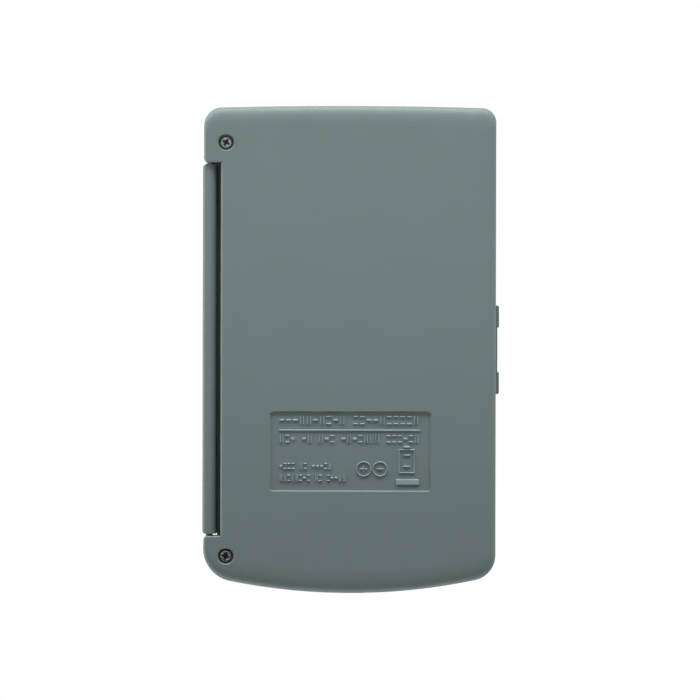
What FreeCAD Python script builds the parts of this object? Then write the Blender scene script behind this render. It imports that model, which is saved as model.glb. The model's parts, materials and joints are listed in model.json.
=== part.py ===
import FreeCAD, Part
import math
import os

# Pocket calculator with a hard flip cover, lying on its back with the cover shut.
# X runs from the free edge of the cover (-) to its hinge (+), Y from the keypad (-) to the display (+),
# Z up through the keypad and the cover.  The origin is the middle of the rear face, on the desk.
# All sizes are in millimetres.
Vec = FreeCAD.Vector

# ---- outside form -----------------------------------------------------------------------------
HALF_WIDTH = 35.0
HALF_LENGTH = 58.35
TOTAL_THICK = 10.2
PARTING_Z = 4.2                 # rear casing below, front casing above
FACE_Z = 7.8                    # keypad face of the front casing
TOP_ARC_R = 1100.0              # display end, almost straight
BOTTOM_ARC_R = 145.0            # keypad end, plainly bowed
TOP_HINGE_R, TOP_FREE_R = 4.3, 3.5
BOTTOM_HINGE_R, BOTTOM_FREE_R = 7.8, 6.1

# the soft edge of the rear face: how far in it reaches, and how high up the side
END_SOFT = (4.9, 1.9)
FREE_SOFT = (3.8, 1.6)
HINGE_SOFT = (0.9, 0.9)
SOFT_POWER = 2.4                # 2 would be a quarter ellipse; more is flatter, with a tighter turn
FLAT_CORNER_R = 2.5             # corner radius of the flat part of the rear face
SOFT_STEPS = 11
FRONT_EDGE_R = 1.2
FAR = 200.0                     # well beyond the part on every side, for the tools that cut it

# ---- walls ------------------------------------------------------------------------------------
REAR_FLOOR = 1.4
REAR_WALL = 1.8
FRONT_SKIN = 1.4
FRONT_WALL = 2.6
LIP_DEPTH = 0.9
GAP = 0.1                       # loose fit between fixed parts
PARTING_GROOVE = 0.25
CAVITY_HINGE_X = 29.6           # the notch wall and the ears are solid beyond this
LIP_HINGE_X = 25.0              # the front casing's lip stops here
HOOK_SPOTS_Y = (-36.0, -4.0, 28.0)
HOOK_W, HOOK_LOW_Z = 6.0, 2.0
BARB_OUT, BARB_H = 0.35, 0.6
REAR_RIBS_Y = (14.0, -9.0, -32.0)
REAR_RIB_X0, REAR_RIB_X1 = -28.0, 25.0
FRONT_RIB_X0, FRONT_RIB_X1, FRONT_RIB_Y = -30.0, 26.0, 16.7
RIB_THICK = 1.0
BITE = 0.2                      # how far a rib or boss runs into the wall it grows from

# ---- hinge ------------------------------------------------------------------------------------
NOTCH_X = 30.95
NOTCH_TOP_Y, NOTCH_BOTTOM_Y = 44.7, -44.7
NOTCH_MOUTH_R = 1.0
NOTCH_EDGE_R, EAR_EDGE_R = 0.75, 0.45
EAR_EDGE_DIP = 0.04             # the ears' edge rounds cross the rear face instead of just touching it
CORNER_BULGE = 0.36             # 0.414 would be a quarter circle
BAR_TOP_Y, BAR_BOTTOM_Y = 44.25, -44.2
BAR_R = 1.65                    # half the bar's width
HINGE_X = 33.6
LOW_PIVOT_Z = 2.8
HIGH_PIVOT_Z = TOTAL_THICK - BAR_R
BAR_REAR_INNER_R, BAR_REAR_OUTER_R = 2.0, 0.9
BAR_END_R = 0.8
KNUCKLE_LENGTH = 7.9
KNUCKLE_GAP = 0.3
PIN_R = 0.85
PIN_RUNNING = 0.03
COVER_PIN_R = 0.75
PIN_IN_BAR = 4.0
PIN_IN_EAR = 4.6
PIN_END_ROOM = 0.2              # between a pin's end and the bottom of its hole
COVER_PIN_END = 0.4             # the cover's pins stop this far inside its knuckles
# a ledge on the casing closes the slot behind the bar; its deeper middle runs in a groove of the bar
LEDGE_LOW_Z = 6.9
LEDGE_X, LEDGE_DEEP_X = 31.8, 32.15
LEDGE_END_X, LEDGE_RUNNING = 33.0, 0.03       # at the top end it reaches under the bar's end gap
GROOVE_CLEAR = 0.3

# ---- cover ------------------------------------------------------------------------------------
COVER_LIFT = 0.15
COVER_SKIN = 1.45
COVER_RIM = 2.0
TRAY_STOP = 5.4                 # the cover is solid this far in from the ears
EAR_CHAMFER = 0.3
KNUCKLE_WEB = 0.5               # how far a knuckle's web runs in under the plate
SWING_FACETS = 3
SWING_LAND = 0.2                # the cover's edge beside an ear is upright for this much
SWING_CLEAR = 0.05              # room for the cover to swing past the ears
NUB_NEAR_Y, NUB_FAR_Y = 5.3, 10.65
NUB_OUT, CATCH_OUT = 0.9, 0.5
NUB_LOW_Z, NUB_HIGH_Z = 8.15, 9.35
NUB_R = 0.45

# ---- label recess on the rear face --------------------------------------------------------------
LABEL_X, LABEL_Y = -0.2, -24.4
LABEL_W, LABEL_H = 38.6, 19.2
LABEL_R = 0.8
LABEL_DEPTH, LABEL_SLOPE = 0.5, 0.25

# ---- casing screws ------------------------------------------------------------------------------
SCREW_SPOTS = [(29.7, 49.5), (29.6, -49.5)]
SCREW_HEAD_R, SCREW_HEAD_Z, SCREW_HEAD_H = 1.4, 0.45, 1.0
COUNTERBORE_R, COUNTERBORE_EASE = 1.85, 0.22
SCREW_R, SCREW_HOLE_R, SCREW_PILOT_R = 0.85, 0.95, 0.75
SCREW_TIP_Z = 6.6
SCREW_BOSS_R = 2.6
SCREW_EDGE_R = 0.3
RECESS_ARM, RECESS_HALF_W, RECESS_DEPTH = 0.95, 0.24, 0.55
RECESS_CONE_R, RECESS_CONE_TIP_R, RECESS_CONE_DEPTH = 0.62, 0.2, 0.75
RECESS_TURN = {SCREW_SPOTS[0]: 28.0, SCREW_SPOTS[1]: 12.0}      # degrees, as the screws were left

# ---- keys ---------------------------------------------------------------------------------------
COLUMN_X = [-22.8, -8.6, 5.6, 19.8]
ROW_TOP_Y, ROW_PITCH = 7.0, 10.6
KEY_W, KEY_H, KEY_R = 11.0, 7.2, 1.6
KEY_TOP_Z = 8.35
KEY_EDGE_R = 0.35
KEY_DISH_R, KEY_DISH_DEPTH = 34.0, 0.22
KEY_CLEAR = 0.15
FLANGE_OUT, FLANGE_THICK = 0.5, 0.5
FLANGE_DROP = 0.05              # gap under the skin, so that the key isn't pinched
KEY_JOIN = 0.1                  # how far the cap runs into its flange
KEY_ROWS = [
    ["root_sign", "percent", "off", "on_clear"],
    ["memory_recall", "memory_minus", "memory_plus", "divide"],
    ["7", "8", "9", "multiply"],
    ["4", "5", "6", "minus"],
    ["1", "2", "3", "plus"],
    ["0", "point", "equals", None],
]

# ---- rubber key mat -------------------------------------------------------------------------------
MAT_THICK = 0.5
DOME_FOOT_R, DOME_TOP_R = 2.9, 1.7
DOME_WALL = 0.45
DOME_DROP = 0.02                  # gap between a dome and its key
MAT_SIDE, MAT_TOP = 0.6, 3.2      # how far the sheet reaches past the outer keys
MAT_CORNER_R = 1.5

# ---- circuit board ----------------------------------------------------------------------------------
BOARD_Z, BOARD_THICK = 2.6, 1.0
BOARD_X0, BOARD_X1 = -32.2, 29.2
BOARD_Y0, BOARD_Y1 = -51.0, 43.0
BOARD_BOSS_R, BOARD_PILOT_R, BOARD_SCREW_R, BOARD_HOLE_R = 1.5, 0.55, 0.65, 0.8
BOARD_SCREW_HEAD_R, BOARD_SCREW_HEAD_H = 1.1, 0.6
BOARD_RECESS_ARM, BOARD_RECESS_HALF_W, BOARD_RECESS_DEPTH = 0.8, 0.15, 0.3
BOARD_SCREW_SHORT = 0.4           # the screws stop this far short of the skin
BOARD_EDGE_ROOM, BOSS_ROOM, RING_ROOM = 0.2, 0.4, 0.3
BOARD_SPOTS = [(x, y) for x in (-30.8, 27.5) for y in (40.6, 15.0, -41.0)]
DROP_X, DROP_Y, DROP_R, DROP_H = 2.0, 30.0, 4.2, 0.9
CHIP_SPOTS = [(-16.0, 32.0), (-12.5, 32.0), (-16.0, 24.0)]
CHIP_W, CHIP_L, CHIP_H = 1.2, 2.0, 0.8

# ---- display ----------------------------------------------------------------------------------------
LCD_X, LCD_Y = -1.0, 31.5
LCD_W, LCD_H, LCD_THICK = 50.0, 17.5, 1.45
LCD_TOP_Z = 6.35
WINDOW_W, WINDOW_H, WINDOW_R = 56.0, 22.4, 1.5
WINDOW_THICK, WINDOW_SET = 0.8, 0.05
VIEW_W, VIEW_H, VIEW_R = 46.0, 13.6, 0.6
FRAME_WALL, FRAME_R = 1.6, 0.8
GLASS_LEDGE = 1.9                 # the rear plate is shorter than the front one by this much
REFLECTOR_LOW, REFLECTOR_HIGH = 2.6, 1.2      # how far its opening stands in from the glass edges
ZEBRA_W, ZEBRA_END = 1.6, 0.5

# ---- button cell, 11.6 x 3.05 mm ----------------------------------------------------------------------
CELL_X, CELL_Y = -14.0, 49.6
CELL_R, CELL_THICK = 5.8, 3.05
CELL_Z = 1.55
CELL_LID_IN, CELL_LID_H, CELL_EDGE_R = 0.9, 0.35, 0.3
CELL_RING, CELL_RING_H = 0.8, 2.4
RING_OPEN_X = 4.6                 # the ring is open beyond this, for the strip at the can's side
STRIP = 0.2                       # thickness of the contact strips and of the reflector
LEAF_X0, LEAF_X1, LEAF_ARM_X1, LEAF_HALF_W = -6.9, 1.5, -4.4, 1.2     # from the middle of the cell
LEAF_FOOT = 0.7
BLADE_REACH, BLADE_LOW, BLADE_FOOT_W, BLADE_FOOT = 3.0, 0.3, 2.2, 0.9
PAD_W, PAD_H = 7.0, 6.0


def box(x0, x1, y0, y1, z0, z1):
    return Part.makeBox(x1 - x0, y1 - y0, z1 - z0, Vec(x0, y0, z0))


def rounded_box(cx, cy, w, h, r, z0, z1):
    """A flat box with its four upright edges rounded."""
    block = box(cx - w / 2, cx + w / 2, cy - h / 2, cy + h / 2, z0, z1)
    upright = [e for e in block.Edges if abs(e.BoundBox.ZLength - (z1 - z0)) < 1e-6]
    return block.makeFillet(r, upright)


def rod_z(x, y, r, z0, z1):
    return Part.makeCylinder(r, z1 - z0, Vec(x, y, z0))


def rod_y(x, z, r, y0, y1):
    return Part.makeCylinder(r, y1 - y0, Vec(x, y0, z), Vec(0, 1, 0))


def joined(shapes):
    body = shapes[0]
    return body.multiFuse(shapes[1:]) if len(shapes) > 1 else body


def outside_corner(x, y, r, side_x, side_y, z0, z1):
    """The sliver to cut away to ease an upright corner at (x, y) over a width r.
    Its arc is a little flatter than a quarter circle, so that it never just grazes a side."""
    start, end = Vec(x - side_x * r, y, z0), Vec(x, y - side_y * r, z0)
    middle = (start + end) * 0.5
    arc_mid = middle + (Vec(x, y, z0) - middle) * CORNER_BULGE
    face = Part.Face(Part.Wire([
        Part.Arc(start, arc_mid, end).toShape(),
        Part.LineSegment(end, Vec(x + side_x, y - side_y * r, z0)).toShape(),
        Part.LineSegment(Vec(x + side_x, y - side_y * r, z0), Vec(x + side_x, y, z0)).toShape(),
        Part.LineSegment(Vec(x + side_x, y, z0), start).toShape(),
    ]))
    return face.extrude(Vec(0, 0, z1 - z0))


# ---- outline --------------------------------------------------------------------------------------
def corner_points(side_x, end_y, arc_r, corner_r, side):
    """Tangent points and mid point of the corner arc between a straight side and a bowed end.
    end_y is where the end's arc crosses X = 0; side is +1 or -1 for the hinge or the free side."""
    way = math.copysign(1, end_y)
    arc_centre_y = end_y - way * arc_r
    cx = side_x - side * corner_r
    cy = arc_centre_y + way * math.sqrt((arc_r - corner_r) ** 2 - cx ** 2)
    to_centre = Vec(cx, cy - arc_centre_y, 0).normalize()
    on_side = Vec(side_x, cy, 0)
    on_end = Vec(cx, cy, 0) + to_centre * corner_r
    mid = Vec(cx, cy, 0) + (Vec(side, 0, 0) + to_centre).normalize() * corner_r
    return on_side, mid, on_end


def outline(z, end_in=0.0, free_in=0.0, hinge_in=0.0, soften=0.0):
    """The closed outline at height z, drawn in by the given amounts.
    soften goes from 0, the full corner radii, to 1, the radius of the flat rear face."""
    def radius(full):
        return full + (FLAT_CORNER_R - full) * soften

    hinge_x, free_x = HALF_WIDTH - hinge_in, -HALF_WIDTH + free_in
    top, bottom = HALF_LENGTH - end_in, -HALF_LENGTH + end_in
    top_r, bottom_r = TOP_ARC_R - end_in, BOTTOM_ARC_R - end_in
    th = corner_points(hinge_x, top, top_r, radius(TOP_HINGE_R), 1)
    tf = corner_points(free_x, top, top_r, radius(TOP_FREE_R), -1)
    bh = corner_points(hinge_x, bottom, bottom_r, radius(BOTTOM_HINGE_R), 1)
    bf = corner_points(free_x, bottom, bottom_r, radius(BOTTOM_FREE_R), -1)
    edges = [
        Part.Arc(th[0], th[1], th[2]).toShape(),
        Part.Arc(th[2], Vec(0, top, 0), tf[2]).toShape(),
        Part.Arc(tf[2], tf[1], tf[0]).toShape(),
        Part.LineSegment(tf[0], bf[0]).toShape(),
        Part.Arc(bf[0], bf[1], bf[2]).toShape(),
        Part.Arc(bf[2], Vec(0, bottom, 0), bh[2]).toShape(),
        Part.Arc(bh[2], bh[1], bh[0]).toShape(),
        Part.LineSegment(bh[0], th[0]).toShape(),
    ]
    wire = Part.Wire(edges)
    wire.translate(Vec(0, 0, z))
    return wire


def slab(z0, z1, inset=0.0):
    face = Part.Face(outline(z0, inset, inset, inset))
    return face.extrude(Vec(0, 0, z1 - z0))


def cavity(z0, z1, inset):
    """The room inside the walls, which stops short of the notch and the ears."""
    return slab(z0, z1, inset).common(box(-HALF_WIDTH, CAVITY_HINGE_X, -HALF_LENGTH, HALF_LENGTH, z0, z1))


def drawn_in(soft, z):
    """How far a soft edge (width, height) has drawn in at height z above the rear face."""
    width, height = soft
    if z >= height:
        return 0.0
    return width * (1 - (1 - (1 - z / height) ** SOFT_POWER) ** (1 / SOFT_POWER))


def soft_back():
    """The outside of the rear casing: a flat face whose edges curve softly up into the sides."""
    top_of_curve = END_SOFT[1]
    sections = []
    for step in range(SOFT_STEPS + 1):
        let_out = math.sin(math.pi / 2 * step / SOFT_STEPS)
        z = top_of_curve * (1 - (1 - let_out ** SOFT_POWER) ** (1 / SOFT_POWER))
        sections.append(outline(z, drawn_in(END_SOFT, z), drawn_in(FREE_SOFT, z), drawn_in(HINGE_SOFT, z),
                                1 - let_out))
    curved = Part.makeLoft(sections, True, False)
    return curved.fuse(slab(top_of_curve, PARTING_Z))


def notch(z0, z1):
    """The slot in the hinge side where the hinge bar lies, with its mouth corners eased."""
    reach = HALF_WIDTH + 1
    parts = [box(NOTCH_X, reach, NOTCH_BOTTOM_Y, NOTCH_TOP_Y, z0, z1)]
    for y, side in ((NOTCH_TOP_Y, -1), (NOTCH_BOTTOM_Y, 1)):
        parts.append(outside_corner(HALF_WIDTH, y, NOTCH_MOUTH_R, 1, side, z0, z1))
    return joined(parts)


def notch_edge_rounds():
    """What is cut away to round the rear edges of the notch: its long wall and the two ears."""
    r = NOTCH_EDGE_R
    wall = box(NOTCH_X - r, NOTCH_X, NOTCH_BOTTOM_Y, NOTCH_TOP_Y, 0, r)
    cuts = [wall.cut(rod_y(NOTCH_X - r, r, r, NOTCH_BOTTOM_Y, NOTCH_TOP_Y))]
    r = EAR_EDGE_R
    for y, side in ((NOTCH_TOP_Y, 1), (NOTCH_BOTTOM_Y, -1)):
        y0, y1 = sorted((y, y + side * r))
        middle_z = r - EAR_EDGE_DIP
        ear = box(NOTCH_X, HALF_WIDTH + 1, y0, y1, -1, middle_z)
        start, length = Vec(NOTCH_X, y + side * r, middle_z), HALF_WIDTH + 1 - NOTCH_X
        roll = Part.makeCylinder(r, length, start, Vec(1, 0, 0))
        below = box(NOTCH_X, HALF_WIDTH + 1, y0, y1, -1, -EAR_EDGE_DIP)
        cuts.append(ear.cut(roll).cut(below))
    return cuts


# ---- casings ----------------------------------------------------------------------------------------
def hooks():
    """Three snap tongues on the free side, and the pockets that their barbs catch in."""
    tongues, pockets = [], []
    outer = -HALF_WIDTH + REAR_WALL + GAP
    inner = -HALF_WIDTH + FRONT_WALL
    for y in HOOK_SPOTS_Y:
        y0, y1 = y - HOOK_W / 2, y + HOOK_W / 2
        barb_z = HOOK_LOW_Z + BARB_H
        tongues.append(box(outer, inner, y0, y1, HOOK_LOW_Z, PARTING_Z + BITE))
        tongues.append(box(outer - BARB_OUT, outer, y0, y1, HOOK_LOW_Z, barb_z))
        pockets.append(box(outer - BARB_OUT - GAP, outer, y0 - GAP, y1 + GAP, HOOK_LOW_Z - GAP, barb_z + GAP))
    return tongues, pockets


def cell_ring():
    """The open ring on the rear casing's floor that holds the button cell."""
    well_r = CELL_R + GAP
    ring = rod_z(CELL_X, CELL_Y, well_r + CELL_RING, REAR_FLOOR - BITE, CELL_Z + CELL_RING_H)
    ring = ring.cut(rod_z(CELL_X, CELL_Y, well_r, 0, TOTAL_THICK))
    ring = ring.common(slab(0, PARTING_Z, FRONT_WALL + GAP))
    opening = box(CELL_X + RING_OPEN_X, CELL_X + FAR, CELL_Y - FAR, CELL_Y + CELL_R - CELL_RING,
                  CELL_Z, TOTAL_THICK)
    return ring.cut(opening)


def label_recess():
    """The tool for the label's recess; its walls slope in to the floor."""
    block = rounded_box(LABEL_X, LABEL_Y, LABEL_W, LABEL_H, LABEL_R, -1, LABEL_DEPTH)
    floor_rim = [e for e in block.Edges if e.BoundBox.ZMin > LABEL_DEPTH - 0.01]
    return block.makeChamfer(LABEL_SLOPE, floor_rim)


def rear_casing():
    shell = soft_back().cut(cavity(REAR_FLOOR, PARTING_Z, REAR_WALL))
    inside = [cell_ring()]
    low = REAR_FLOOR - BITE
    for x, y in SCREW_SPOTS:
        inside.append(rod_z(x, y, SCREW_BOSS_R, low, PARTING_Z).common(slab(0, PARTING_Z, REAR_WALL / 2)))
    for y in REAR_RIBS_Y:
        inside.append(box(REAR_RIB_X0, REAR_RIB_X1, y - RIB_THICK / 2, y + RIB_THICK / 2, low, BOARD_Z - GAP))
    shell = joined([shell] + inside)

    cuts = [notch(-1, PARTING_Z + 1)]
    cuts.append(label_recess())
    for x, y in SCREW_SPOTS:
        cuts.append(rod_z(x, y, COUNTERBORE_R, -1, SCREW_HEAD_Z + SCREW_HEAD_H))
        wide_r, past = COUNTERBORE_R + 2 * COUNTERBORE_EASE, COUNTERBORE_EASE
        cuts.append(Part.makeCone(wide_r, COUNTERBORE_R, 2 * past, Vec(x, y, -past)))
        cuts.append(rod_z(x, y, SCREW_HOLE_R, -1, PARTING_Z + 1))
    cuts.append(rod_y(HINGE_X, LOW_PIVOT_Z, PIN_R, NOTCH_BOTTOM_Y - PIN_IN_EAR, NOTCH_TOP_Y + PIN_IN_EAR))
    groove_low = PARTING_Z - PARTING_GROOVE
    cuts.append(slab(groove_low, PARTING_Z + 1).cut(slab(groove_low, PARTING_Z + 1, PARTING_GROOVE)))
    cuts += hooks()[1]
    cuts += notch_edge_rounds()
    return shell.cut(joined(cuts))


def rounded_top(z0):
    """Everything above z0 with the cover shut, which the cover and the ears are cut from."""
    block = slab(z0, TOTAL_THICK)
    rim = [e for e in block.Edges if abs(e.BoundBox.ZMin - TOTAL_THICK) < 0.01]
    return block.makeFillet(FRONT_EDGE_R, rim)


def ear_tops(z0):
    """The two corners beyond the notch where the front casing stands up to the cover's height."""
    far = HALF_LENGTH + 1
    ears = []
    for y0, y1 in ((NOTCH_TOP_Y, far), (-far, NOTCH_BOTTOM_Y)):
        ear = box(NOTCH_X, HALF_WIDTH + 1, y0, y1, z0, TOTAL_THICK)
        inner_top = [e for e in ear.Edges if e.BoundBox.XMax < NOTCH_X + 0.01
                     and e.BoundBox.ZMin > TOTAL_THICK - 0.01]
        ears.append(ear.makeChamfer(EAR_CHAMFER, inner_top))
    return rounded_top(z0).common(joined(ears))


def swing_room():
    """What the cover leaves free beside each ear, so that it clears them as the bar swings it out:
    a wedge whose flat facets stay outside the circle of the ears' chamfered inner edge."""
    r = math.hypot(HINGE_X - NOTCH_X, TOTAL_THICK - LOW_PIVOT_Z) + SWING_CLEAR
    start = math.asin((TOTAL_THICK - SWING_LAND - LOW_PIVOT_Z) / r)
    stop = math.asin((FACE_Z - LOW_PIVOT_Z) / r)
    slope = []
    for step in range(SWING_FACETS + 1):
        angle = start + (stop - start) * step / SWING_FACETS
        slope.append((HINGE_X - r * math.cos(angle), LOW_PIVOT_Z + r * math.sin(angle)))
    top_x, low_x = slope[0][0], slope[-1][0]
    ring = slope + [(low_x, FACE_Z - 1), (HALF_WIDTH + 1, FACE_Z - 1), (HALF_WIDTH + 1, TOTAL_THICK + 1),
                    (top_x, TOTAL_THICK + 1)]
    face = Part.Face(Part.makePolygon([Vec(x, 0, z) for x, z in ring + ring[:1]]))
    length = HALF_LENGTH + 1
    at_top, at_bottom = face.copy(), face.copy()
    at_top.translate(Vec(0, BAR_TOP_Y, 0))
    at_bottom.translate(Vec(0, BAR_BOTTOM_Y - length, 0))
    return joined([at_top.extrude(Vec(0, length, 0)), at_bottom.extrude(Vec(0, length, 0))])


def key_cells():
    """Every key as (name, x, y, height); the plus key is two rows tall."""
    cells = []
    for row, names in enumerate(KEY_ROWS):
        for column, name in enumerate(names):
            y = ROW_TOP_Y - ROW_PITCH * row
            if name == "plus":
                cells.append((name, COLUMN_X[column], y - ROW_PITCH / 2, KEY_H + ROW_PITCH))
            elif name:
                cells.append((name, COLUMN_X[column], y, KEY_H))
    return cells


def front_casing():
    skin_z = FACE_Z - FRONT_SKIN
    shell = slab(PARTING_Z, FACE_Z).cut(cavity(PARTING_Z, skin_z, FRONT_WALL))
    shell = shell.fuse(ear_tops(FACE_Z - 0.5))
    inside = []
    lip_z = PARTING_Z - LIP_DEPTH
    lip_top = PARTING_Z + BITE
    lip = slab(lip_z, lip_top, REAR_WALL + GAP).cut(slab(lip_z, lip_top, FRONT_WALL))
    inside.append(lip.common(box(-HALF_WIDTH, LIP_HINGE_X, -HALF_LENGTH, HALF_LENGTH, lip_z, lip_top)))
    inside += hooks()[0]
    for x, y in SCREW_SPOTS:
        inside.append(rod_z(x, y, SCREW_BOSS_R, PARTING_Z, skin_z + BITE))
    for x, y in BOARD_SPOTS:
        inside.append(rod_z(x, y, BOARD_BOSS_R, BOARD_Z + BOARD_THICK, skin_z + BITE))
    inside.append(box(FRONT_RIB_X0, FRONT_RIB_X1, FRONT_RIB_Y - RIB_THICK / 2, FRONT_RIB_Y + RIB_THICK / 2,
                      PARTING_Z + LIP_DEPTH / 3, skin_z + BITE))
    shell = joined([shell] + inside)

    cuts = [notch(PARTING_Z - 1, TOTAL_THICK + 1)]
    for x, y in SCREW_SPOTS:
        cuts.append(rod_z(x, y, SCREW_PILOT_R, PARTING_Z - 1, SCREW_TIP_Z + PIN_END_ROOM))
    for x, y in BOARD_SPOTS:
        cuts.append(rod_z(x, y, BOARD_PILOT_R, BOARD_Z, skin_z - PIN_END_ROOM))
    seat_w, seat_h = WINDOW_W + 2 * GAP, WINDOW_H + 2 * GAP
    seat_z = FACE_Z - WINDOW_THICK - WINDOW_SET
    cuts.append(rounded_box(LCD_X, LCD_Y, seat_w, seat_h, WINDOW_R, seat_z, FACE_Z + 1))
    cuts.append(rounded_box(LCD_X, LCD_Y, VIEW_W, VIEW_H, VIEW_R, PARTING_Z, FACE_Z + 1))
    for _, x, y, height in key_cells():
        cuts.append(rounded_box(x, y, KEY_W + 2 * KEY_CLEAR, height + 2 * KEY_CLEAR, KEY_R + KEY_CLEAR,
                                PARTING_Z, FACE_Z + 1))
    return shell.cut(joined(cuts)).multiFuse(slot_ledge())


def bar_middle():
    """Where along Y the bar stands up to its own knuckle, between the cover's two knuckles."""
    inset = KNUCKLE_LENGTH + KNUCKLE_GAP
    return BAR_BOTTOM_Y + inset, BAR_TOP_Y - inset


def slot_ledge():
    """The ledge along the notch wall that closes the slot behind the hinge bar."""
    y0, y1 = bar_middle()
    root_x = NOTCH_X - BITE
    shallow = box(root_x, LEDGE_X, NOTCH_BOTTOM_Y - BITE, NOTCH_TOP_Y + BITE, LEDGE_LOW_Z, FACE_Z)
    past = KNUCKLE_GAP - LEDGE_RUNNING
    deep = box(root_x, LEDGE_DEEP_X, y0 - past, y1 + past, LEDGE_LOW_Z, FACE_Z)
    end_y = BAR_TOP_Y + LEDGE_RUNNING
    return [shallow, deep, box(root_x, LEDGE_END_X, end_y, NOTCH_TOP_Y + BITE, LEDGE_LOW_Z, FACE_Z)]


# ---- hinge and cover ----------------------------------------------------------------------------------
def hinge_bar():
    """The spine of the cover: a low pivot in the casing's ears, a high pivot for the cover."""
    inner, outer = HINGE_X - BAR_R, HINGE_X + BAR_R
    low = LOW_PIVOT_Z - BAR_REAR_INNER_R
    diagonal = math.sqrt(0.5)

    def at(x, z):
        return Vec(x, BAR_BOTTOM_Y, z)
    inner_mid = at(inner + BAR_REAR_INNER_R * (1 - diagonal), low + BAR_REAR_INNER_R * (1 - diagonal))
    outer_mid = at(outer - BAR_REAR_OUTER_R * (1 - diagonal), low + BAR_REAR_OUTER_R * (1 - diagonal))
    section = Part.Wire([
        Part.Arc(at(inner, HIGH_PIVOT_Z), at(HINGE_X, TOTAL_THICK), at(outer, HIGH_PIVOT_Z)).toShape(),
        Part.LineSegment(at(outer, HIGH_PIVOT_Z), at(outer, low + BAR_REAR_OUTER_R)).toShape(),
        Part.Arc(at(outer, low + BAR_REAR_OUTER_R), outer_mid, at(outer - BAR_REAR_OUTER_R, low)).toShape(),
        Part.LineSegment(at(outer - BAR_REAR_OUTER_R, low), at(inner + BAR_REAR_INNER_R, low)).toShape(),
        Part.Arc(at(inner + BAR_REAR_INNER_R, low), inner_mid, at(inner, LOW_PIVOT_Z)).toShape(),
        Part.LineSegment(at(inner, LOW_PIVOT_Z), at(inner, HIGH_PIVOT_Z)).toShape(),
    ])
    bar = Part.Face(section).extrude(Vec(0, BAR_TOP_Y - BAR_BOTTOM_Y, 0))
    cuts = []
    shoulder_z = HIGH_PIVOT_Z - BAR_R - KNUCKLE_GAP
    middle = bar_middle()
    cuts.append(box(inner - 1, LEDGE_DEEP_X + GROOVE_CLEAR, middle[0], middle[1],
                    LEDGE_LOW_Z - GROOVE_CLEAR, FACE_Z + COVER_LIFT))
    for end_y, side, shoulder_y in ((BAR_TOP_Y, 1, middle[1]), (BAR_BOTTOM_Y, -1, middle[0])):
        y0, y1 = sorted((shoulder_y, end_y + side))
        cuts.append(box(inner - 1, outer + 1, y0, y1, shoulder_z, TOTAL_THICK + 1))
        cuts.append(outside_corner(outer, end_y, BAR_END_R, 1, side, 0, TOTAL_THICK))
        y0, y1 = sorted((end_y - side * PIN_IN_BAR, end_y + side))
        cuts.append(rod_y(HINGE_X, LOW_PIVOT_Z, PIN_R + PIN_RUNNING, y0, y1))
        y0, y1 = sorted((shoulder_y - side * PIN_IN_BAR, end_y + side))
        cuts.append(rod_y(HINGE_X, HIGH_PIVOT_Z, COVER_PIN_R + PIN_RUNNING, y0, y1))
    return bar.cut(joined(cuts))


def hinge_pins():
    """Steel pins pressed into the ears; the hinge bar turns on them."""
    pins = []
    for ear_y, bar_y, side in ((NOTCH_TOP_Y, BAR_TOP_Y, 1), (NOTCH_BOTTOM_Y, BAR_BOTTOM_Y, -1)):
        inner_end = bar_y - side * (PIN_IN_BAR - PIN_END_ROOM)
        outer_end = ear_y + side * (PIN_IN_EAR - PIN_END_ROOM)
        y0, y1 = sorted((inner_end, outer_end))
        pins.append(rod_y(HINGE_X, LOW_PIVOT_Z, PIN_R, y0, y1))
    return Part.Compound(pins)


def cover_pins():
    """Steel pins pressed into the cover's knuckles; they turn in the top of the hinge bar."""
    pins = []
    for end_y, side in ((BAR_TOP_Y, 1), (BAR_BOTTOM_Y, -1)):
        inner_end = end_y - side * (KNUCKLE_LENGTH + KNUCKLE_GAP + PIN_IN_BAR - PIN_END_ROOM)
        y0, y1 = sorted((inner_end, end_y - side * COVER_PIN_END))
        pins.append(rod_y(HINGE_X, HIGH_PIVOT_Z, COVER_PIN_R, y0, y1))
    return Part.Compound(pins)


def knuckle(web_x, low, y0, y1):
    """A knuckle of the cover: a roll about the high pivot, with a web that runs in under the plate."""
    def at(x, z):
        return Vec(x, y0, z)
    drop = HIGH_PIVOT_Z - low
    meet_x = HINGE_X - math.sqrt(BAR_R ** 2 - drop ** 2)
    outer_low = at(HINGE_X + BAR_R * math.sqrt(0.5), HIGH_PIVOT_Z - BAR_R * math.sqrt(0.5))
    section = Part.Wire([
        Part.LineSegment(at(web_x, TOTAL_THICK), at(HINGE_X, TOTAL_THICK)).toShape(),
        Part.Arc(at(HINGE_X, TOTAL_THICK), outer_low, at(meet_x, low)).toShape(),
        Part.LineSegment(at(meet_x, low), at(web_x, low)).toShape(),
        Part.LineSegment(at(web_x, low), at(web_x, TOTAL_THICK)).toShape(),
    ])
    return Part.Face(section).extrude(Vec(0, y1 - y0, 0))


def thumb_catch():
    """The catch on the cover's free edge: two nubs with a lower strip between them."""
    edge = -HALF_WIDTH
    parts = [box(edge - CATCH_OUT, edge + 1, -NUB_NEAR_Y, NUB_NEAR_Y, NUB_LOW_Z, NUB_HIGH_Z)]
    for y in (-NUB_FAR_Y, NUB_NEAR_Y):
        length = NUB_FAR_Y - NUB_NEAR_Y
        nub = box(edge - NUB_OUT, edge + 1, y, y + length, NUB_LOW_Z, NUB_HIGH_Z)
        ends = [e for e in nub.Edges if e.BoundBox.XMax < edge - NUB_OUT + 0.01 and e.BoundBox.YLength < 0.01]
        parts.append(nub.makeFillet(NUB_R, ends))
    return parts


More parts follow.
